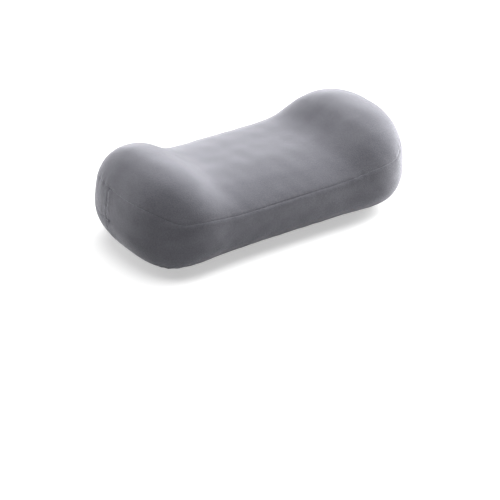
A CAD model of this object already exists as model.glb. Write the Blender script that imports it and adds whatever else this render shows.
import math

import bmesh
import bpy
import numpy as np
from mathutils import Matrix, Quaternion, Vector


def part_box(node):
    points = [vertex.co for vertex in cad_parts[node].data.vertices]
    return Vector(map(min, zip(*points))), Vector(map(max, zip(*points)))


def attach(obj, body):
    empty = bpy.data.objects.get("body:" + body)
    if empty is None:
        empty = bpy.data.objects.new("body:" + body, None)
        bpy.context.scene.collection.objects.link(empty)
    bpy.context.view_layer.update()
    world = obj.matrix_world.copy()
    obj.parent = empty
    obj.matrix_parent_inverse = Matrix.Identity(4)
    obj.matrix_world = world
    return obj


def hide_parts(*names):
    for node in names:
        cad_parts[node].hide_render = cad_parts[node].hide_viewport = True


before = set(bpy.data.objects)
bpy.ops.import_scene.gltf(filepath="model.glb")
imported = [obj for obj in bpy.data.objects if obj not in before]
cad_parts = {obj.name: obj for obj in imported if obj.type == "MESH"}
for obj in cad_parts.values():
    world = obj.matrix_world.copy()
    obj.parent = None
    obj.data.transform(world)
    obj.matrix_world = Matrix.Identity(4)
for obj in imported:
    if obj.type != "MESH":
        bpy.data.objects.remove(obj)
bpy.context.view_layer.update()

# Lengths are in millimetres up to the moment a mesh is made.
MM = 0.001

# ---- The pillow's shape, as in the CAD model ----
LENGTH = 360.0
DEPTH = 172.0
LOBE_HEIGHT = 114.5
SADDLE_HEIGHT = 86.0
WAIST_INSET = 5.0
WIDEST_HEIGHT = 47.5
SADDLE_HALF = 94.0
SLOPE_REACH = 21.0
CROWN_REACH, CROWN_POWER = 58.0, 2.5
PLAN_REACH, PLAN_POWER = 76.0, 2.5
UNDER_REACH, UNDER_POWER = 46.0, 1.8
TOP_POWER, LOW_POWER = 2.5, 2.7
BASE_SINK = 1.6
CENTRE_Y = -2.6
HALF, BACK = LENGTH / 2, DEPTH / 2

# ---- Seams ----
SEAM_MIDDLE, SEAM_LOBE, SEAM_END = 60.5, 68.5, 82.5
SEAM_RISE_START, SEAM_RISE_LENGTH = 134.0, 42.0
BASE_SEAM = 7.5
END_SEAM_Y = 12.0
SEAM_GAP = 0.08              # between the two turned-in edges at the bottom of a seam
GROOVE_DEPTH, GROOVE_WIDTH = 0.6, 0.85
RIDGE, RIDGE_REACH = 0.9, 8.0   # the front seam stands out at the saddle, where it is a box edge
BASE_SEAM_SHARE = 0.6        # the surface leans at the base seam, so its levels lie closer
STITCH = 3.2                 # length of a stitch in a seam
THREAD_END = 0.9             # from a thread's end to the seam that it meets
THREAD_COVER = 0.35          # from the bottom of a seam's groove to the middle of its thread
SNAP = 0.2                   # points this near to a cut are moved onto it, so that no slivers form
SHELL = 1.25                 # thickness of the velour
LINER_DEPTH, LINER_SHELL, LINER_SEAM = 3.55, 0.3, 47.5
CORE_DEPTH = 4.35

# ---- Zip ----
ZIP_Z = WIDEST_HEIGHT
OPENING_HALF, LIP = 114.0, 5.5
STITCH_LINE = 7.6
TAPE_DEPTH, TAPE_SHELL, TAPE_HALF = 1.65, 0.42, 118.0
TAPE_EDGE = (0.95, 14.5)
COIL_PITCH, WIRE = 1.6, 0.3
COIL_START, COIL_END = -110.0, 105.8
SPREAD, SPREAD_FROM, SPREAD_TO = 1.4, -101.5, -106.0
BARTACK_X = 113.0

# ---- Relief of the cover: how deep it is drawn in, and how far puffs stand out ----
PUFF, PUFF_AT, PUFF_WIDTH = 0.14, 3.6, 2.0          # beside each seam
TUCKS = {"top": 0.17, "base": 0.2, "joint": 0.16}   # small gathers along the level seams
TUCK_LENGTH, TUCK_REACH = 8.5, 5.5
END_TUCK, END_TUCK_LENGTH, END_TUCK_REACH = 0.16, 7.5, 5.0
PUCKER, PUCKER_Y, PUCKER_WIDTH, PUCKER_HEIGHT = 0.6, 10.5, 5.5, 1.5   # where three panels meet
WAVES = ((0.28, 70, 6), (0.10, 24, 7))              # size, length and seed
SETTLE_HEIGHT = 3.0                                 # the relief fades below this, to a flat base
FADE_X, FADE_WIDTH, FADE = 70, 12, 0.45             # the front seam is fainter on the right lobe
JOINT_FADE = 14                                     # the zip line's seam is fainter at the ends
FOLDS = (  # place along X, half length, height above the seam and depth
    (-128, 17, 1.6, 0.42), (-116, 15, 4.4, 0.34), (-103, 13, 3.0, 0.26), (104, 14, 2.6, 0.30),
    (122, 16, 4.6, 0.28), (-60, 11, 3.4, 0.16), (38, 12, 3.2, 0.16),
)
FOLD_WIDTH, FOLD_RISE = 1.3, 0.05

# ---- Meshes ----
COVER_MESH, LINER_MESH, CORE_MESH = (330, 300), (150, 130), (200, 170)   # along and around
SEAM_STEPS = (0.6, 1.1, 1.8, 3.2)                   # extra rows beside a seam
LIP_STEPS = (0, 0.35, 0.8, 1.4)                     # extra rows beside a lip
STITCH_STEPS = (-0.5, 0, 0.5, 1.3)
SINES = 9                                           # in each random field

# ---- Camera, light and floor, in metres, degrees and watts ----
CAMERA_FROM = (-34.6, 28.2)  # azimuth and elevation
CAMERA_DISTANCE, CAMERA_LENS, CAMERA_AIM = 2.151, 139.5, 0.0517
CAMERA_TURNS = (((0, 1, 0), 0.012), ((1, 0, 0), -2.169), ((0, 0, 1), 1.06))   # yaw, pitch, roll
LIGHTS = (  # azimuth, elevation and power
    ("right_low", 90, 22, 42), ("right_high", 95, 50, 20),
    ("right_behind", 120, 20, 22), ("left_behind", -150, 20, 12),
)
LIGHT_DISTANCE, LIGHT_SIZE, LIGHT_AIM = 1.7, 0.9, 0.05
OVERHEAD_POWER, OVERHEAD_ANGLE = 2.85, 50
WORLD_GLOW, FLOOR_GLOW = 0.03, 0.5
FLOOR_HALF, FLOOR_Z = 12.0, -0.0004


# ---- Shape formulas, on arrays ----
def lobe_share(x):
    return 0.5 * (1 + np.tanh((np.abs(x) - SADDLE_HALF) / SLOPE_REACH))


def end_share(x, reach, power, inset):
    t = np.clip((np.abs(x) - (HALF - reach)) / (reach - inset), 0, 1)
    return (1 - t**power) ** (1 / power)


def half_sizes(x, inset):
    """Half depths to the back and the front, and heights above and below the widest line."""
    share = lobe_share(x)
    plan = end_share(x, PLAN_REACH, PLAN_POWER, inset)
    back = (BACK - inset) * plan
    front = (BACK - WAIST_INSET * (1 - share) - inset) * plan
    height = SADDLE_HEIGHT + (LOBE_HEIGHT - SADDLE_HEIGHT) * share
    over = (height - WIDEST_HEIGHT - inset) * end_share(x, CROWN_REACH, CROWN_POWER, inset)
    under = (WIDEST_HEIGHT + BASE_SINK - inset) * end_share(x, UNDER_REACH, UNDER_POWER, inset)
    return back, front, over, under


def rounded(value, power):
    return np.sign(value) * np.abs(value) ** (2 / power)


def seam_height(x):
    t = np.clip((np.abs(x) - SEAM_RISE_START) / SEAM_RISE_LENGTH, 0, 1)
    rise = t * t * (3 - 2 * t)
    height = SEAM_MIDDLE + (SEAM_LOBE - SEAM_MIDDLE) * lobe_share(x)
    return height + (SEAM_END - SEAM_LOBE) * rise


def side_depth(x, z, inset, back_side):
    """How far the surface is from the pillow's middle line at a height, towards one side."""
    back, front, over, under = half_sizes(x, inset)
    above = z >= WIDEST_HEIGHT
    rise = np.abs(z - WIDEST_HEIGHT) / np.maximum(np.where(above, over, under), 1e-6)
    power = np.where(above, TOP_POWER, LOW_POWER)
    full = back if back_side else front
    return full * np.clip(1 - np.clip(rise, 0, 1) ** power, 0, 1) ** (1 / power)


def even_angles(count):
    """Angles that divide a typical cross-section into steps of equal length."""
    fine = np.linspace(0, 2 * math.pi, 20001)
    c, s = np.cos(fine), np.sin(fine)
    up = s >= 0
    y = np.where(up, rounded(c, TOP_POWER), rounded(c, LOW_POWER)) * BACK
    z = np.where(up, rounded(s, TOP_POWER) * 58, rounded(s, LOW_POWER) * 49)
    run = np.concatenate([[0], np.cumsum(np.hypot(np.diff(y), np.diff(z)))])
    return np.interp(np.linspace(0, run[-1], count, endpoint=False), run, fine)


def pillow_points(inset, across, around):
    """The closed surface at a depth: rings of points along X and a point at each tip."""
    turn = np.linspace(-0.988, 0.988, across)
    x = (HALF - inset) * np.sin(turn * math.pi / 2)
    angle = even_angles(around)
    c, s = np.cos(angle)[None], np.sin(angle)[None]
    back, front, over, under = (a[:, None] for a in half_sizes(x, inset))
    up = s >= 0
    y = np.where(up, rounded(c, TOP_POWER), rounded(c, LOW_POWER)) * np.where(c >= 0, back, front)
    z = WIDEST_HEIGHT + np.where(up, rounded(s, TOP_POWER) * over, rounded(s, LOW_POWER) * under)
    z = np.maximum(z, inset)
    rings = np.stack([np.broadcast_to(x[:, None], y.shape), y, z], -1).reshape(-1, 3)
    tips = np.array([[-(HALF - inset), 0, WIDEST_HEIGHT], [HALF - inset, 0, WIDEST_HEIGHT]])
    return np.concatenate([rings, tips])


def pillow_faces(across, around):
    i, j = np.meshgrid(np.arange(across - 1), np.arange(around), indexing="ij")
    k = (j + 1) % around
    quads = np.stack([i * around + j, i * around + k, (i + 1) * around + k, (i + 1) * around + j], -1)
    faces = quads.reshape(-1, 4).tolist()
    last = (across - 1) * around
    for j in range(around):
        k = (j + 1) % around
        faces.append([across * around, k, j])
        faces.append([across * around + 1, last + j, last + k])
    return faces


# ---- Smooth irregularity that is the same on every run ----
def ripple(points, length, seed, use=(1, 1, 1)):
    """A gentle random field of about unit size, with features of about the given length."""
    rng = np.random.default_rng(seed)
    field = np.zeros(len(points))
    for _ in range(SINES):
        way = rng.normal(size=3) * np.array(use)
        way *= 2 * math.pi / (length * rng.uniform(0.7, 1.5)) / np.linalg.norm(way)
        field += np.sin(points @ way + rng.uniform(0, 2 * math.pi))
    return field / math.sqrt(SINES / 2)


# ---- Mesh helpers ----
def mesh_object(name, points, faces):
    """A mesh in the part's frame. The pillow's own middle lies in front of the origin."""
    mesh = bpy.data.meshes.new(name)
    mesh.from_pydata(((points + np.array([0, CENTRE_Y, 0])) * MM).tolist(), [], faces)
    mesh.update()
    mesh.shade_smooth()
    obj = bpy.data.objects.new(name, mesh)
    bpy.context.scene.collection.objects.link(obj)
    return obj


def place(obj, body, slot, material, *nodes):
    obj.data.materials.clear()
    obj.data.materials.append(material)
    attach(obj, body)
    if nodes:
        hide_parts(*nodes)
    return obj


def cut_levels(points, faces, levels):
    """Cuts faces along planes, so that edges follow them. A level is (axis, value, test)."""
    mesh = bpy.data.meshes.new("cutting")
    mesh.from_pydata(points.tolist(), [], faces)
    bm = bmesh.new()
    bm.from_mesh(mesh)
    for axis, value, test in levels:
        near = [f for f in bm.faces if test(f.calc_center_median())] if test else bm.faces[:]
        corners = list({v for f in near for v in f.verts})
        for v in corners:
            if abs(v.co[axis] - value) < SNAP:
                v.co[axis] = value
        geom = corners + list({e for f in near for e in f.edges}) + near
        normal = [0.0, 0.0, 0.0]
        normal[axis] = 1.0
        origin = [value * n for n in normal]
        bmesh.ops.bisect_plane(bm, geom=geom, dist=1e-5, plane_co=origin, plane_no=normal)
    bm.to_mesh(mesh)
    bm.free()
    out = np.empty(len(mesh.vertices) * 3)
    mesh.vertices.foreach_get("co", out)
    faces = [list(p.vertices) for p in mesh.polygons]
    bpy.data.meshes.remove(mesh)
    return out.reshape(-1, 3), faces


def normals_of(points, faces):
    mesh = bpy.data.meshes.new("normals")
    mesh.from_pydata(points.tolist(), [], faces)
    mesh.update()
    out = np.empty(len(points) * 3)
    mesh.vertex_normals.foreach_get("vector", out)
    bpy.data.meshes.remove(mesh)
    return out.reshape(-1, 3)


def picked(points, faces, keep):
    """The faces that are kept, with only the points they use."""
    chosen = [f for f, k in zip(faces, keep) if k]
    used = sorted({v for f in chosen for v in f})
    place_of = {v: i for i, v in enumerate(used)}
    return points[used], [[place_of[v] for v in f] for f in chosen]


def thickened(points, normals, faces, thickness):
    """A closed sheet: the outer points, the same moved inwards, and walls along free edges."""
    n = len(points)
    both = np.concatenate([points, points - normals * thickness])
    out = [list(f) for f in faces] + [[v + n for v in reversed(f)] for f in faces]
    edges = {}
    for f in faces:
        for a, b in zip(f, f[1:] + f[:1]):
            if (b, a) in edges:
                del edges[(b, a)]
            else:
                edges[(a, b)] = True
    out += [[b, a, a + n, b + n] for a, b in edges]
    return both, out


def tube(path, radius, sides=8):
    """Points and faces of a round tube along a path. The radius may change along it."""
    path = np.asarray(path, float)
    n = len(path)
    along = np.gradient(path, axis=0)
    along /= np.linalg.norm(along, axis=1)[:, None]
    side = np.cross(along, [0.0, 0.0, 1.0])
    flat = np.linalg.norm(side, axis=1) < 0.2
    side[flat] = np.cross(along[flat], [0.0, 1.0, 0.0])
    for i in range(1, n):
        if np.dot(side[i], side[i - 1]) < 0:
            side[i] *= -1
    side /= np.linalg.norm(side, axis=1)[:, None]
    other = np.cross(side, along)
    turn = np.linspace(0, 2 * math.pi, sides, endpoint=False)
    ring = np.cos(turn)[None, :, None] * side[:, None] + np.sin(turn)[None, :, None] * other[:, None]
    points = path[:, None] + ring * np.broadcast_to(radius, n)[:, None, None]
    faces = []
    for i in range(n - 1):
        k = i + 1
        for j in range(sides):
            m = (j + 1) % sides
            faces.append([i * sides + j, k * sides + j, k * sides + m, i * sides + m])
    faces.append(list(range(sides)))
    faces.append([(n - 1) * sides + j for j in reversed(range(sides))])
    return points.reshape(-1, 3), faces


def grid_faces(rows, columns):
    i, j = np.meshgrid(np.arange(rows - 1), np.arange(columns - 1), indexing="ij")
    first = i * columns + j
    quads = np.stack([first, first + 1, first + columns + 1, first + columns], -1)
    return quads.reshape(-1, 4).tolist()


def joined(pieces):
    points, faces, base = [], [], 0
    for p, f in pieces:
        points.append(p)
        faces += [[v + base for v in face] for face in f]
        base += len(p)
    return np.concatenate(points), faces


# ---- Materials ----
def new_material(name):
    material = bpy.data.materials.new(name)
    material.use_nodes = True
    nodes, links = material.node_tree.nodes, material.node_tree.links
    return material, nodes, links, nodes["Principled BSDF"]


def noise(nodes, links, source, scale, detail=3.0, stretch=(1, 1, 1)):
    mapping = nodes.new("ShaderNodeMapping")
    mapping.inputs["Scale"].default_value = stretch
    links.new(source, mapping.inputs["Vector"])
    texture = nodes.new("ShaderNodeTexNoise")
    texture.inputs["Scale"].default_value = scale
    texture.inputs["Detail"].default_value = detail
    links.new(mapping.outputs["Vector"], texture.inputs["Vector"])
    return texture.outputs["Fac"]


def ramp(nodes, links, source, *stops):
    node = nodes.new("ShaderNodeValToRGB")
    while len(node.color_ramp.elements) < len(stops):
        node.color_ramp.elements.new(0.5)
    for element, (position, colour) in zip(node.color_ramp.elements, stops):
        element.position = position
        element.color = (*colour, 1.0)
    links.new(source, node.inputs["Fac"])
    return node.outputs["Color"]


def mixed(nodes, links, factor, first, second, mode="MIX"):
    node = nodes.new("ShaderNodeMix")
    node.data_type = "RGBA"
    node.blend_type = mode
    for socket, value in (("Factor_Float", factor), ("A_Color", first), ("B_Color", second)):
        target = next(i for i in node.inputs if i.identifier == socket)
        if isinstance(value, (int, float)):
            target.default_value = value
        elif isinstance(value, tuple):
            target.default_value = (*value, 1.0)
        else:
            links.new(value, target)
    return next(o for o in node.outputs if o.identifier == "Result_Color")


def bump(nodes, links, principled, *layers):
    """Stacks bump maps, each given as (height socket, distance in metres, strength)."""
    normal = None
    for height, distance, strength in layers:
        node = nodes.new("ShaderNodeBump")
        node.inputs["Distance"].default_value = distance
        node.inputs["Strength"].default_value = strength
        links.new(height, node.inputs["Height"])
        if normal is not None:
            links.new(normal, node.inputs["Normal"])
        normal = node.outputs["Normal"]
    links.new(normal, principled.inputs["Normal"])


def place_in_object(nodes):
    return nodes.new("ShaderNodeTexCoord").outputs["Object"]


def velour():
    """Short dense pile: streaks where it has been stroked, a fine nap and a bright edge."""
    material, nodes, links, shader = new_material("velour_grey")
    where = place_in_object(nodes)
    strokes = noise(nodes, links, where, 14, 4, (0.35, 1.6, 2.4))
    patches = noise(nodes, links, where, 9, 2)
    nap = noise(nodes, links, where, 900, 3)
    pile = noise(nodes, links, where, 2600, 2)
    base = ramp(nodes, links, strokes, (0.3, (0.104, 0.104, 0.121)), (0.72, (0.150, 0.150, 0.170)))
    cloud = ramp(nodes, links, patches, (0.3, (0.90, 0.90, 0.90)), (0.7, (1.06, 1.06, 1.05)))
    fleck = ramp(nodes, links, nap, (0.35, (0.86, 0.86, 0.87)), (0.65, (1.10, 1.10, 1.09)))
    colour = mixed(nodes, links, 1.0, base, cloud, "MULTIPLY")
    colour = mixed(nodes, links, 1.0, colour, fleck, "MULTIPLY")
    links.new(colour, shader.inputs["Base Color"])
    rough = ramp(nodes, links, strokes, (0.3, (0.80, 0.80, 0.80)), (0.7, (0.95, 0.95, 0.95)))
    links.new(rough, shader.inputs["Roughness"])
    shader.inputs["Specular IOR Level"].default_value = 0.2
    shader.inputs["Sheen Weight"].default_value = 0.75
    shader.inputs["Sheen Roughness"].default_value = 0.42
    shader.inputs["Sheen Tint"].default_value = (0.90, 0.90, 0.96, 1.0)
    bump(nodes, links, shader, (strokes, 0.0012, 0.25), (nap, 0.0005, 0.45), (pile, 0.0003, 0.4))
    return material


def cotton(name, dark, light, scale=1800, sheen=0.2):
    """Spun thread or plain knit: fine crossed ribs and slight colour variation."""
    material, nodes, links, shader = new_material(name)
    where = place_in_object(nodes)
    wave = nodes.new("ShaderNodeTexWave")
    wave.inputs["Scale"].default_value = scale / 6
    wave.inputs["Distortion"].default_value = 1.2
    wave.inputs["Detail"].default_value = 1.0
    wave.bands_direction = "DIAGONAL"
    links.new(where, wave.inputs["Vector"])
    fuzz = noise(nodes, links, where, scale, 3)
    cloud = noise(nodes, links, where, 40, 2)
    base = ramp(nodes, links, cloud, (0.3, dark), (0.7, light))
    fleck = ramp(nodes, links, fuzz, (0.3, (0.88, 0.88, 0.88)), (0.7, (1.06, 1.06, 1.06)))
    links.new(mixed(nodes, links, 1.0, base, fleck, "MULTIPLY"), shader.inputs["Base Color"])
    shader.inputs["Roughness"].default_value = 0.85
    shader.inputs["Specular IOR Level"].default_value = 0.25
    shader.inputs["Sheen Weight"].default_value = sheen
    bump(nodes, links, shader, (wave.outputs["Fac"], 0.0003, 0.4), (fuzz, 0.0002, 0.35))
    return material


def herringbone_tape():
    material, nodes, links, shader = new_material("woven_tape")
    where = place_in_object(nodes)
    heights = []
    for tilt in (1, -1):
        mapping = nodes.new("ShaderNodeMapping")
        mapping.inputs["Rotation"].default_value = (0, tilt * 0.7, 0)
        links.new(where, mapping.inputs["Vector"])
        wave = nodes.new("ShaderNodeTexWave")
        wave.bands_direction = "Z"
        wave.inputs["Scale"].default_value = 420
        wave.inputs["Distortion"].default_value = 0.4
        links.new(mapping.outputs["Vector"], wave.inputs["Vector"])
        heights.append(wave.outputs["Fac"])
    stripes = nodes.new("ShaderNodeTexWave")
    stripes.bands_direction = "Z"
    stripes.wave_profile = "TRI"
    stripes.inputs["Scale"].default_value = 110
    links.new(where, stripes.inputs["Vector"])
    side = ramp(nodes, links, stripes.outputs["Fac"], (0.48, (0, 0, 0)), (0.52, (1, 1, 1)))
    weave = mixed(nodes, links, side, heights[0], heights[1])
    colour = ramp(nodes, links, weave, (0.2, (0.080, 0.080, 0.092)), (0.8, (0.135, 0.135, 0.152)))
    links.new(colour, shader.inputs["Base Color"])
    shader.inputs["Roughness"].default_value = 0.75
    shader.inputs["Specular IOR Level"].default_value = 0.35
    bump(nodes, links, shader, (weave, 0.0002, 0.6), (noise(nodes, links, where, 2500), 0.0001, 0.3))
    return material


def filament():
    """Drawn plastic wire, slightly see-through at its edges and a little uneven in colour."""
    material, nodes, links, shader = new_material("coil_plastic")
    where = place_in_object(nodes)
    patchy = noise(nodes, links, where, 350, 2)
    colour = ramp(nodes, links, patchy, (0.3, (0.105, 0.105, 0.120)), (0.7, (0.165, 0.165, 0.182)))
    links.new(colour, shader.inputs["Base Color"])
    rough = ramp(nodes, links, patchy, (0.3, (0.28, 0.28, 0.28)), (0.7, (0.42, 0.42, 0.42)))
    links.new(rough, shader.inputs["Roughness"])
    shader.inputs["Coat Weight"].default_value = 0.2
    bump(nodes, links, shader, (noise(nodes, links, where, 1500), 0.00006, 0.3))
    return material


def metal(name, dark, light, metallic, rough_low, rough_high, coat):
    """Die-cast or painted metal with fine mottling, and edges rubbed a little brighter."""
    material, nodes, links, shader = new_material(name)
    where = place_in_object(nodes)
    mottle = noise(nodes, links, where, 700, 4)
    rubbed = noise(nodes, links, where, 180, 5)
    edge = nodes.new("ShaderNodeNewGeometry").outputs["Pointiness"]
    base = ramp(nodes, links, mottle, (0.3, dark), (0.7, light))
    worn = ramp(nodes, links, edge, (0.52, (0, 0, 0)), (0.60, (0.45, 0.45, 0.45)))
    bright = tuple(min(1.0, c * 1.9) for c in light)
    links.new(mixed(nodes, links, worn, base, bright), shader.inputs["Base Color"])
    rough = ramp(nodes, links, rubbed, (0.3, (rough_low,) * 3), (0.7, (rough_high,) * 3))
    links.new(rough, shader.inputs["Roughness"])
    shader.inputs["Metallic"].default_value = metallic
    shader.inputs["Coat Weight"].default_value = coat
    bump(nodes, links, shader, (mottle, 0.00008, 0.35), (rubbed, 0.0001, 0.2))
    return material


def open_foam():
    """Slow-recovery foam: fine open pores of several sizes in a warm white."""
    material, nodes, links, shader = new_material("open_cell_foam")
    where = place_in_object(nodes)
    pores = nodes.new("ShaderNodeTexVoronoi")
    pores.inputs["Scale"].default_value = 900
    links.new(where, pores.inputs["Vector"])
    big = nodes.new("ShaderNodeTexVoronoi")
    big.inputs["Scale"].default_value = 240
    links.new(where, big.inputs["Vector"])
    cloud = noise(nodes, links, where, 20, 3)
    base = ramp(nodes, links, cloud, (0.3, (0.83, 0.78, 0.65)), (0.7, (0.89, 0.85, 0.74)))
    pit = ramp(nodes, links, pores.outputs["Distance"], (0.05, (0.62, 0.60, 0.55)), (0.35, (1, 1, 1)))
    links.new(mixed(nodes, links, 1.0, base, pit, "MULTIPLY"), shader.inputs["Base Color"])
    shader.inputs["Roughness"].default_value = 0.95
    shader.inputs["Specular IOR Level"].default_value = 0.15
    shader.inputs["Subsurface Weight"].default_value = 0.15
    shader.inputs["Subsurface Scale"].default_value = 0.004
    small_pits = (pores.outputs["Distance"], 0.0006, 0.5)
    bump(nodes, links, shader, small_pits, (big.outputs["Distance"], 0.0008, 0.3))
    return material


VELOUR = velour()
THREAD = cotton("cover_sewing_thread", (0.095, 0.095, 0.110), (0.140, 0.140, 0.157), 2600, 0.3)
LINER = cotton("liner_knit", (0.80, 0.80, 0.78), (0.88, 0.88, 0.87), 1500, 0.3)
LINER_THREAD = cotton("liner_sewing_thread", (0.78, 0.78, 0.76), (0.86, 0.86, 0.84), 2600, 0.2)
RIBBON = cotton("satin_ribbon", (0.84, 0.84, 0.83), (0.92, 0.92, 0.91), 3200, 0.5)
TAPE = herringbone_tape()
FILAMENT = filament()
FOAM = open_foam()
STEEL = metal("plated_stop", (0.13, 0.13, 0.14), (0.19, 0.19, 0.20), 0.6, 0.58, 0.75, 0.0)
PAINTED = metal("dyed_slider", (0.085, 0.085, 0.100), (0.125, 0.125, 0.142), 0.35, 0.30, 0.48, 0.4)


# ---- Cover ----
def seam_gap_sizes(points, normals):
    """Distance along the surface from each seam of the cover, in the seam's own stretch."""
    x, y, z = points.T
    level = np.sqrt(np.maximum(1 - normals[:, 2] ** 2, 0.04))
    upright = np.sqrt(np.maximum(1 - normals[:, 1] ** 2, 0.04))
    far = 1e3
    top = np.abs(z - seam_height(x)) / level
    base = np.abs(z - BASE_SEAM) / level
    in_band = (z < seam_height(x) + 1) & (z > BASE_SEAM - 1)
    end = np.where(in_band, np.abs(y - END_SEAM_Y) / upright, far)
    past = (y > END_SEAM_Y - 1) & (np.abs(x) > OPENING_HALF - 0.5)
    joint = np.where(past, np.abs(z - ZIP_Z), far)
    return top, base, end, joint


def cover_relief(points, normals):
    """How far the velour is drawn in from the smooth shape: seams, gathers and soft waves."""
    x, y, z = points.T
    top, base, end, joint = seam_gap_sizes(points, normals)
    front = y < 0
    drawn = 0.4 + 0.6 * (1 - lobe_share(x)) * np.where(front, 1, 0.7) + 0.12 * ripple(points, 90, 2)
    drawn *= np.where(front, 1 - FADE / (1 + np.exp(-(x - FADE_X) / FADE_WIDTH)), 1)
    near_zip = np.clip((y - END_SEAM_Y) / JOINT_FADE, 0, 1)
    inward = np.zeros(len(points))
    for gap, share in ((top, 1.0), (base, 0.8), (end, 0.55), (joint, 0.6 * near_zip)):
        inward += share * GROOVE_DEPTH * drawn * np.exp(-((gap / GROOVE_WIDTH) ** 1.35))
        puff = PUFF * np.clip(share, 0, 0.5) * 2
        inward -= puff * np.exp(-(((gap - PUFF_AT) / PUFF_WIDTH) ** 2))
    tucks = ripple(points, TUCK_LENGTH, 3, (1, 1, 0)) * (0.55 + 0.45 * ripple(points, 60, 4))
    for gap, size in ((top, TUCKS["top"]), (base, TUCKS["base"]), (joint, TUCKS["joint"] * near_zip)):
        inward += size * tucks * np.exp(-gap / TUCK_REACH)
    upright_tucks = ripple(points, END_TUCK_LENGTH, 5, (0, 0.2, 1))
    inward += END_TUCK * upright_tucks * np.exp(-end / END_TUCK_REACH)
    corner = ((y - PUCKER_Y) / PUCKER_WIDTH) ** 2 + (top / PUCKER_HEIGHT) ** 2
    inward += np.where(np.abs(x) > 150, PUCKER * np.exp(-corner), 0)
    inward -= ridge(x, y) * np.exp(-top / RIDGE_REACH)
    inward += drawn_folds(x, y, z)
    for size, length, seed in WAVES:
        inward += size * ripple(points, length, seed)
    inward += lips(x, y, z)
    return inward * np.clip(z / SETTLE_HEIGHT, 0, 1)


def ridge(x, y):
    """How far the front seam stands out."""
    return np.where(y < 0, RIDGE * (1 - lobe_share(x)), 0)


def drawn_folds(x, y, z):
    """Short shallow folds that run beside the front seam where the cover pulls at a lobe."""
    total = np.zeros(len(x))
    for middle, reach, above, size in FOLDS:
        off = z - (seam_height(x) + above + FOLD_RISE * (x - middle))
        shape = np.exp(-((off / FOLD_WIDTH) ** 2)) * np.exp(-(((x - middle) / reach) ** 2))
        total += np.where(y < 0, size * shape, 0)
    return total


def lips(x, y, z):
    """Along the zip the edge is turned under and stitched down, which makes a soft ridge."""
    back = (y > 60) & (np.abs(x) < OPENING_HALF + 3)
    off = np.abs(z - ZIP_Z)
    roll = 0.85 * np.exp(-((np.abs(off - LIP) / 0.75) ** 1.6))
    crest = -0.22 * np.exp(-(((off - LIP - 1.2) / 1.1) ** 2))
    pull = 0.32 * np.exp(-(((off - STITCH_LINE) / 0.55) ** 2))
    return np.where(back, roll + crest + pull, 0)


def seam_levels():
    """The planes that the cover's mesh is cut along, apart from the top panel's seam."""
    half = SEAM_GAP / 2
    marks = [-s for s in reversed(SEAM_STEPS)] + [-half, half] + list(SEAM_STEPS)
    low = lambda c: c.z < 16
    ends = lambda c: abs(c.y - END_SEAM_Y) < 7 and abs(c.x) > 100
    past = lambda c: abs(c.x) > OPENING_HALF - 1 and c.y > END_SEAM_Y - 6 and abs(c.z - ZIP_Z) < 8
    lip = lambda c: c.y > 60 and abs(c.x) < OPENING_HALF + 4 and abs(c.z - ZIP_Z) < 13
    levels = [(2, BASE_SEAM + m * BASE_SEAM_SHARE, low) for m in marks]
    levels += [(1, END_SEAM_Y + m, ends) for m in marks]
    levels += [(0, side * OPENING_HALF, lip) for side in (-1, 1)]
    levels += [(2, ZIP_Z + m, past) for m in marks]
    offs = [LIP + s for s in LIP_STEPS] + [STITCH_LINE + s for s in STITCH_STEPS]
    return marks, levels + [(2, ZIP_Z + side * off, lip) for side in (-1, 1) for off in offs]


def cover():
    points, faces = pillow_points(0.0, *COVER_MESH), pillow_faces(*COVER_MESH)
    marks, levels = seam_levels()
    near_top = lambda c: abs(c.z) < 7
    points[:, 2] -= seam_height(points[:, 0])
    points, faces = cut_levels(points, faces, [(2, m, near_top) for m in marks])
    points[:, 2] += seam_height(points[:, 0])
    points, faces = cut_levels(points, faces, levels)
    normals = normals_of(points, faces)
    shaped = points - normals * cover_relief(points, normals)[:, None]
    packed = np.concatenate([shaped, normals_of(shaped, faces)], 1)
    centres = np.array([points[f].mean(0) for f in faces])
    for name, area in panel_areas(*centres.T).items():
        both, chosen = picked(packed, faces, area)
        sheet = thickened(both[:, :3], both[:, 3:], chosen, SHELL)
        obj = place(mesh_object(name + "_velour", *sheet), "pillow", "cover_fabric", VELOUR, name)


def panel_areas(x, y, z):
    """Which faces belong to each panel, from the middles of the faces."""
    half = SEAM_GAP / 2
    above = z - seam_height(x)
    open_zip = (np.abs(x) < OPENING_HALF) & (np.abs(z - ZIP_Z) < LIP) & (y > 0)
    band = (above < -half) & (z > BASE_SEAM + half * BASE_SEAM_SHARE)
    back = band & (y > END_SEAM_Y + half) & ~open_zip
    return {
        "cover_top_panel": above > half,
        "cover_front_band": band & (y < END_SEAM_Y - half),
        "cover_back_band_upper": back & (z > ZIP_Z + half),
        "cover_back_band_lower": back & (z < ZIP_Z - half),
        "cover_base_panel": z < BASE_SEAM - half * BASE_SEAM_SHARE,
    }


# ---- Threads ----
def evened(path, step):
    """The same path with points a fixed distance apart."""
    run = np.concatenate([[0], np.cumsum(np.linalg.norm(np.diff(path, axis=0), axis=1))])
    count = max(2, int(run[-1] / step))
    where = np.linspace(0, run[-1], count)
    return np.stack([np.interp(where, run, path[:, i]) for i in range(3)], 1), where


def sewn(path, radius=0.2, dip=0.16):
    """A thread that dips between stitches."""
    path, where = evened(path, STITCH / 8)
    wave = np.abs(np.sin(where * math.pi / STITCH))
    path = path + to_middle(path) * (dip * (1 - wave))[:, None]
    return tube(path, radius * (0.72 + 0.28 * wave))


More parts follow.
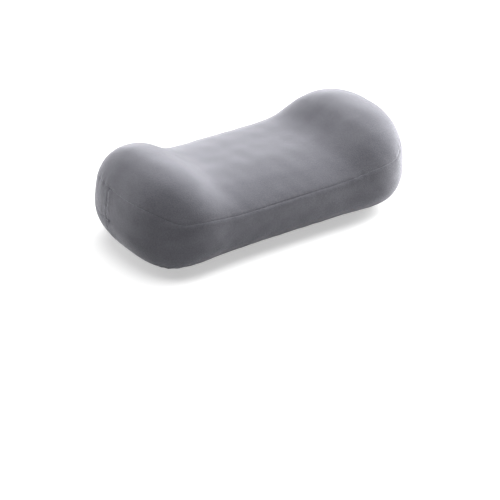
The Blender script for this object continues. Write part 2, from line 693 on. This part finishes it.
def level_run(height, inset, side):
    """Half of a seam that goes all round, over one end of the pillow."""
    last = (HALF - inset) * 0.99999
    reach = np.linspace(0.2, last, 4001)
    over, under = half_sizes(reach, inset)[2:]
    z = height(reach)
    inside = np.where(z >= WIDEST_HEIGHT, over > z - WIDEST_HEIGHT, under > WIDEST_HEIGHT - z)
    reach, z = reach[inside], z[inside]
    rear = np.stack([side * reach, side_depth(reach, z, inset, True), z], 1)
    fore = np.stack([side * reach, -side_depth(reach, z, inset, False), z], 1)
    return np.concatenate([rear, fore[::-1]])


def to_middle(path):
    """Unit vectors towards the pillow's middle, level with the ground."""
    way = -path * np.array([0.35, 1.0, 0.0])
    return way / np.linalg.norm(way, axis=1)[:, None]


def end_x(y, z):
    """Where the surface of the +X end is, for given y and z."""
    low, high = np.full(len(z), 100.0), np.full(len(z), HALF)
    for _ in range(40):
        middle = (low + high) / 2
        outside = side_depth(middle, z, 0.0, True) < y
        high = np.where(outside, middle, high)
        low = np.where(outside, low, middle)
    return (low + high) / 2


def laid(path):
    """A seam's path, moved under the bottom of its groove."""
    inwards = to_middle(path)
    return path + inwards * (cover_relief(path, -inwards) + THREAD_COVER)[:, None]


def sew(name, paths):
    parts = [sewn(laid(path)) for path in paths]
    place(mesh_object(name + "_sewn", *joined(parts)), "pillow", "cover_thread", THREAD, name)


def threads():
    sides = (-1, 1)
    sew("top_seam_thread", [level_run(seam_height, 0.0, side) for side in sides])
    base = lambda x: np.full(len(x), BASE_SEAM)
    sew("base_seam_thread", [level_run(base, 0.0, side) for side in sides])
    z = np.linspace(BASE_SEAM + THREAD_END, SEAM_END - THREAD_END, 200)
    x, level = end_x(END_SEAM_Y, z), np.full(len(z), END_SEAM_Y)
    sew("end_seam_threads", [np.stack([side * x, level, z], 1) for side in sides])
    last = end_x(np.array([END_SEAM_Y + THREAD_END]), np.array([ZIP_Z]))[0]
    reach = np.linspace(BARTACK_X + 2.2, last, 2000)
    back, level = half_sizes(reach, 0.0)[0], np.full(len(reach), ZIP_Z)
    sew("zip_line_seam_threads", [np.stack([side * reach, back, level], 1) for side in sides])


def topstitching():
    """Separate stitches along both lips, each a low arch that goes into the velour."""
    parts = []
    length, pitch, margin, steps = 2.5, 3.25, 2, 9
    count = int(2 * (OPENING_HALF - margin) / pitch)
    arch = np.sin(np.linspace(0, math.pi, steps))
    lean = 0.06 * np.linspace(-1, 1, steps)
    for side in (1, -1):
        z = ZIP_Z + side * STITCH_LINE
        for i in range(count):
            start = -OPENING_HALF + margin + i * pitch
            x = np.linspace(start, start + length, steps)
            y = side_depth(x, np.full(steps, z), 0.0, True) - 0.55 + 0.42 * arch
            parts.append(tube(np.stack([x, y, z + lean], 1), 0.21 * (0.75 + 0.25 * arch)))
    obj = mesh_object("zip_topstitching_sewn", *joined(parts))
    place(obj, "pillow", "cover_thread", THREAD, "zip_topstitching")


# ---- Zip ----
def tapes():
    for side, name in ((1, "zip_tape_upper"), (-1, "zip_tape_lower")):
        x = np.linspace(-TAPE_HALF, TAPE_HALF, 220)
        off = np.linspace(*TAPE_EDGE, 16)
        gx, go = np.meshgrid(x, off, indexing="ij")
        gz = ZIP_Z + side * go
        gy = side_depth(gx, gz, TAPE_DEPTH, True)
        points = np.stack([gx, gy, gz], -1).reshape(-1, 3)
        points[:, 1] -= 0.04 * (1 + ripple(points, 18, 12, (1, 0, 0.3)))
        faces = grid_faces(len(x), len(off))
        if side < 0:
            faces = [f[::-1] for f in faces]
        normals = normals_of(points, faces)
        sheet = thickened(points, normals, faces, TAPE_SHELL)
        place(mesh_object(name + "_woven", *sheet), "pillow", "zip_tape", TAPE, name)


def coil_shift(x):
    return SPREAD * np.clip((x - SPREAD_FROM) / (SPREAD_TO - SPREAD_FROM), 0, 1)


def wound(side, first):
    """The path of one coil's wire: flat turns, rounded off."""
    turn = (  # along X, off the centre line and depth
        (0.00, 2.28, 0.65), (0.00, 2.05, 1.10), (0.02, 1.10, 1.19), (0.02, 0.25, 1.12),
        (0.00, -0.14, 0.68), (-0.02, 0.25, 0.18), (-0.02, 1.10, 0.11), (0.05, 2.00, 0.14),
        (0.60, 2.26, 0.40),
    )
    count = int((COIL_END - COIL_START) / COIL_PITCH)
    starts = [first + i * COIL_PITCH for i in range(count)]
    corners = np.array([(start + dx, off, depth) for start in starts for dx, off, depth in turn])
    smooth = [corners[0]]
    for a, b in zip(corners[:-1], corners[1:]):
        smooth += [(a + b) / 2, b]
    path = np.array(smooth)
    path[1:-1] = 0.25 * path[:-2] + 0.5 * path[1:-1] + 0.25 * path[2:]
    x, off, depth = path.T
    return np.stack([x, BACK - depth - 0.02, ZIP_Z + side * (off + coil_shift(x))], 1)


def coil_sewing(side, first, lane):
    """One of the threads that hold a coil on its tape, over each turn and down between."""
    x = np.arange(COIL_START + 0.6, COIL_END - 0.6, COIL_PITCH / 6)
    turns = (x - first) / COIL_PITCH
    y = BACK + 0.04 - 0.21 * (1 - np.cos(2 * math.pi * turns))
    off = lane + coil_shift(x) + 0.08 * np.sin(math.pi * turns)
    return np.stack([x, y, ZIP_Z + side * off], 1)


def coils():
    """Each coil is one wire, and the heads of its turns mesh with the other coil's."""
    for side, name in ((1, "zip_coil_upper"), (-1, "zip_coil_lower")):
        first = COIL_START + 0.45 + (0.0 if side > 0 else COIL_PITCH / 2)
        wire = mesh_object(name + "_wound", *tube(wound(side, first), WIRE))
        place(wire, "pillow", "zip_coil", FILAMENT, name)
        lines = [tube(coil_sewing(side, first, lane), 0.15, 6) for lane in (1.35, 1.85)]
        obj = mesh_object(name.replace("coil", "coil_sewing"), *joined(lines))
        place(obj, "pillow", "cover_thread", THREAD)


def bartacks():
    """Dense zigzag stitching that closes each end of the opening."""
    parts = []
    half, spare, step = 0.55, 0.35, 0.42
    for side in (-1, 1):
        z = np.arange(-LIP + spare, LIP - spare, step)
        x = side * BARTACK_X + np.where(np.arange(len(z)) % 2 == 0, -half, half)
        y = side_depth(np.abs(x), np.full(len(z), ZIP_Z), 0.0, True) - 0.62
        corner = np.stack([x, y, ZIP_Z + z], 1)
        path, _ = evened(corner, 0.22)
        across = np.minimum(np.abs(path[:, 0] - side * BARTACK_X) / half, 1)
        path[:, 1] += 0.16 * (1 - across**2)
        parts.append(tube(path, 0.22))
        bed = np.empty((24, 3))
        bed[:, 0], bed[:, 1] = side * BARTACK_X, y[0] - 0.28
        bed[:, 2] = ZIP_Z + np.linspace(z[0], z[-1], len(bed))
        parts.append(tube(bed, 0.33, 10))
    obj = mesh_object("zip_bartacks_sewn", *joined(parts))
    place(obj, "pillow", "cover_thread", THREAD, "zip_bartacks")


def small_metal():
    """The slider, tab and stops keep their CAD shape, with softened edges and a finish."""
    finish = {
        "zip_slider_body": PAINTED, "zip_pull_tab": PAINTED,
        "zip_top_stops": STEEL, "zip_bottom_stop": STEEL,
    }
    for name, material in finish.items():
        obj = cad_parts[name]
        obj.data.materials.clear()
        obj.data.materials.append(material)
        edges = obj.modifiers.new("softened", "BEVEL")
        edges.width = 0.00012
        edges.segments = 2
        edges.limit_method = "ANGLE"
        edges.angle_limit = math.radians(35)


# ---- Inside the cover ----
def liner():
    """A thin knit bag in two halves, gathered a little at its seam."""
    points, faces = pillow_points(LINER_DEPTH, *LINER_MESH), pillow_faces(*LINER_MESH)
    half = 0.25
    marks = (-2.0, -1.0, -half, half, 1.0, 2.0)
    points, faces = cut_levels(points, faces, [(2, LINER_SEAM + m, None) for m in marks])
    normals = normals_of(points, faces)
    gap = np.abs(points[:, 2] - LINER_SEAM)
    tucks = ripple(points, 9, 21, (1, 1, 0)) * np.exp(-gap / 7)
    relief = 0.22 * np.exp(-((gap / 1.2) ** 2)) + 0.07 * tucks + 0.04 * (1 + ripple(points, 45, 22))
    relief *= np.clip((points[:, 2] - LINER_DEPTH) / SETTLE_HEIGHT, 0, 1)
    packed = np.concatenate([points - normals * relief[:, None], normals], 1)
    z = np.array([packed[f].mean(0)[2] for f in faces])
    areas = {"liner_upper_panel": z > LINER_SEAM + half, "liner_lower_panel": z < LINER_SEAM - half}
    for name, area in areas.items():
        both, chosen = picked(packed, faces, area)
        sheet = thickened(both[:, :3], both[:, 3:], chosen, LINER_SHELL)
        obj = place(mesh_object(name + "_knit", *sheet), "pillow", "liner_fabric", LINER, name)
    name = "liner_seam_thread"
    height = lambda x: np.full(len(x), LINER_SEAM)
    paths = [level_run(height, LINER_DEPTH + 0.25, side) for side in (-1, 1)]
    mesh = joined([sewn(path, radius=0.16, dip=0.08) for path in paths])
    place(mesh_object(name + "_sewn", *mesh), "pillow", "liner_thread", LINER_THREAD, name)


def core():
    """The foam, with the faint rounded flats that a mould leaves."""
    points, faces = pillow_points(CORE_DEPTH, *CORE_MESH), pillow_faces(*CORE_MESH)
    normals = normals_of(points, faces)
    relief = 0.25 * (1 + ripple(points, 30, 31)) + 0.1 * (1 + ripple(points, 9, 32))
    parting = np.exp(-(((points[:, 2] - WIDEST_HEIGHT) / 0.9) ** 2))
    relief -= 0.15 * parting
    relief *= np.clip((points[:, 2] - CORE_DEPTH) / SETTLE_HEIGHT, 0, 1)
    points = points - normals * np.maximum(relief, 0)[:, None]
    obj = place(mesh_object("foam_core_moulded", points, faces), "pillow", "foam", FOAM, "foam_core")


def label():
    """A blank ribbon that hangs inside the back of one lobe, sewn in along its top."""
    low, high = (Vector(c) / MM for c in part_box("care_label"))
    x = np.linspace(low.x + 0.3, high.x - 0.3, 26)
    z = np.linspace(low.z + 0.3, high.z - 0.3, 40)
    gx, gz = np.meshgrid(x, z, indexing="ij")
    gy = side_depth(gx, gz, 2.46, True)
    points = np.stack([gx, gy, gz], -1).reshape(-1, 3)
    points[:, 1] -= 0.03 * (1 + ripple(points, 12, 41))
    faces = grid_faces(len(x), len(z))
    sheet = thickened(points, normals_of(points, faces), faces, 0.14)
    place(mesh_object("care_label_ribbon", *sheet), "pillow", "label_ribbon", RIBBON, "care_label")


# ---- Camera, light and floor ----
def direction(azimuth, elevation):
    """Unit vector towards a place round the pillow. Azimuth 0 is in front, 90 at the +X end."""
    a, e = math.radians(azimuth), math.radians(elevation)
    return Vector((math.sin(a) * math.cos(e), -math.cos(a) * math.cos(e), math.sin(e)))


def linked(name, data):
    obj = bpy.data.objects.new(name, data)
    bpy.context.scene.collection.objects.link(obj)
    return obj


def camera():
    """From the front left, above the pillow, which stands high in the picture."""
    data = bpy.data.cameras.new("camera")
    data.lens = CAMERA_LENS
    obj = linked("camera", data)
    away = direction(*CAMERA_FROM)
    obj.location = Vector((0.0, CENTRE_Y * MM, CAMERA_AIM)) + away * CAMERA_DISTANCE
    turn = (-away).to_track_quat("-Z", "Y")
    for axis, degrees in CAMERA_TURNS:
        turn = turn @ Quaternion(axis, math.radians(degrees))
    obj.rotation_mode = "QUATERNION"
    obj.rotation_quaternion = turn
    bpy.context.scene.camera = obj


def area_light(name, azimuth, elevation, power):
    data = bpy.data.lights.new(name, "AREA")
    data.shape = "RECTANGLE"
    data.size, data.size_y = LIGHT_SIZE, LIGHT_SIZE
    data.energy = power
    obj = linked(name, data)
    way = direction(azimuth, elevation)
    obj.location = Vector((0, 0, LIGHT_AIM)) + way * LIGHT_DISTANCE
    obj.rotation_mode = "QUATERNION"
    obj.rotation_quaternion = (-way).to_track_quat("-Z", "Y")


def lights():
    for name, azimuth, elevation, power in LIGHTS:
        area_light(name, azimuth, elevation, power)
    data = bpy.data.lights.new("overhead", "SUN")
    data.energy = OVERHEAD_POWER
    data.angle = math.radians(OVERHEAD_ANGLE)
    linked("overhead", data).location = (0, 0, 2)


def surroundings():
    """White to look at, but hardly a source of light."""
    world = bpy.data.worlds.new("studio")
    bpy.context.scene.world = world
    world.use_nodes = True
    nodes, links = world.node_tree.nodes, world.node_tree.links
    glow, seen = nodes["Background"], nodes.new("ShaderNodeBackground")
    for node in (glow, seen):
        node.inputs["Color"].default_value = (1.0, 1.0, 1.0, 1.0)
    glow.inputs["Strength"].default_value = WORLD_GLOW
    choice = nodes.new("ShaderNodeMixShader")
    links.new(nodes.new("ShaderNodeLightPath").outputs["Is Camera Ray"], choice.inputs["Fac"])
    links.new(glow.outputs["Background"], choice.inputs[1])
    links.new(seen.outputs["Background"], choice.inputs[2])
    links.new(choice.outputs["Shader"], nodes["World Output"].inputs["Surface"])


def floor():
    """Plain and pale. A glow that only the camera sees keeps its shadows light."""
    material, nodes, links, shader = new_material("pale_floor")
    mottle = noise(nodes, links, place_in_object(nodes), 3)
    tone = ramp(nodes, links, mottle, (0.3, (0.58, 0.58, 0.58)), (0.7, (0.6, 0.6, 0.6)))
    links.new(tone, shader.inputs["Base Color"])
    glow = nodes.new("ShaderNodeMath")
    glow.operation = "MULTIPLY"
    links.new(nodes.new("ShaderNodeLightPath").outputs["Is Camera Ray"], glow.inputs[0])
    glow.inputs[1].default_value = FLOOR_GLOW
    shader.inputs["Emission Color"].default_value = (1.0, 1.0, 1.0, 1.0)
    links.new(glow.outputs["Value"], shader.inputs["Emission Strength"])
    shader.inputs["Roughness"].default_value = 0.9
    shader.inputs["Specular IOR Level"].default_value = 0.1
    mesh = bpy.data.meshes.new("floor")
    corners = ((-1, -1), (1, -1), (1, 1), (-1, 1))
    mesh.from_pydata([(FLOOR_HALF * x, FLOOR_HALF * y, FLOOR_Z) for x, y in corners], [], [(0, 1, 2, 3)])
    obj = linked("floor", mesh)
    mesh.materials.append(material)


def studio():
    lights()
    surroundings()
    floor()
    bpy.context.scene.view_settings.view_transform = "Standard"


camera()
studio()
cover()
threads()
topstitching()
tapes()
coils()
bartacks()
small_metal()
liner()
core()
label()

bpy.context.view_layer.update()
